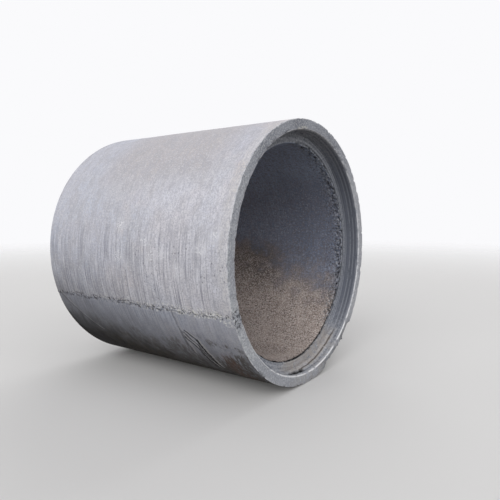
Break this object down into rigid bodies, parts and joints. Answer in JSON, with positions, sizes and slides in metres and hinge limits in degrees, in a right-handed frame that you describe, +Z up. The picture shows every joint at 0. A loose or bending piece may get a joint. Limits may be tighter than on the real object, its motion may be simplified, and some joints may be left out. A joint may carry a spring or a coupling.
{
  "type": "concrete sewer pipe",
  "caption": "Thick-walled round concrete sewer pipe lying on its side, straight bore, stepped socket in its mouth and a matching tongue at the far end.",
  "frame": {"origin": "on the floor under the middle of the pipe's overall length", "axes": "+X along the pipe's axis and out of its mouth, +Z up, the barrel rests on Z = 0"},
  "size_m": [2.13, 2.1598, 2.1598],
  "materials": {
    "concrete": "matte, cast against steel, weathered"
  },
  "bodies": {
    "root": {"pipe": "concrete"}
  },
  "joints": []
}
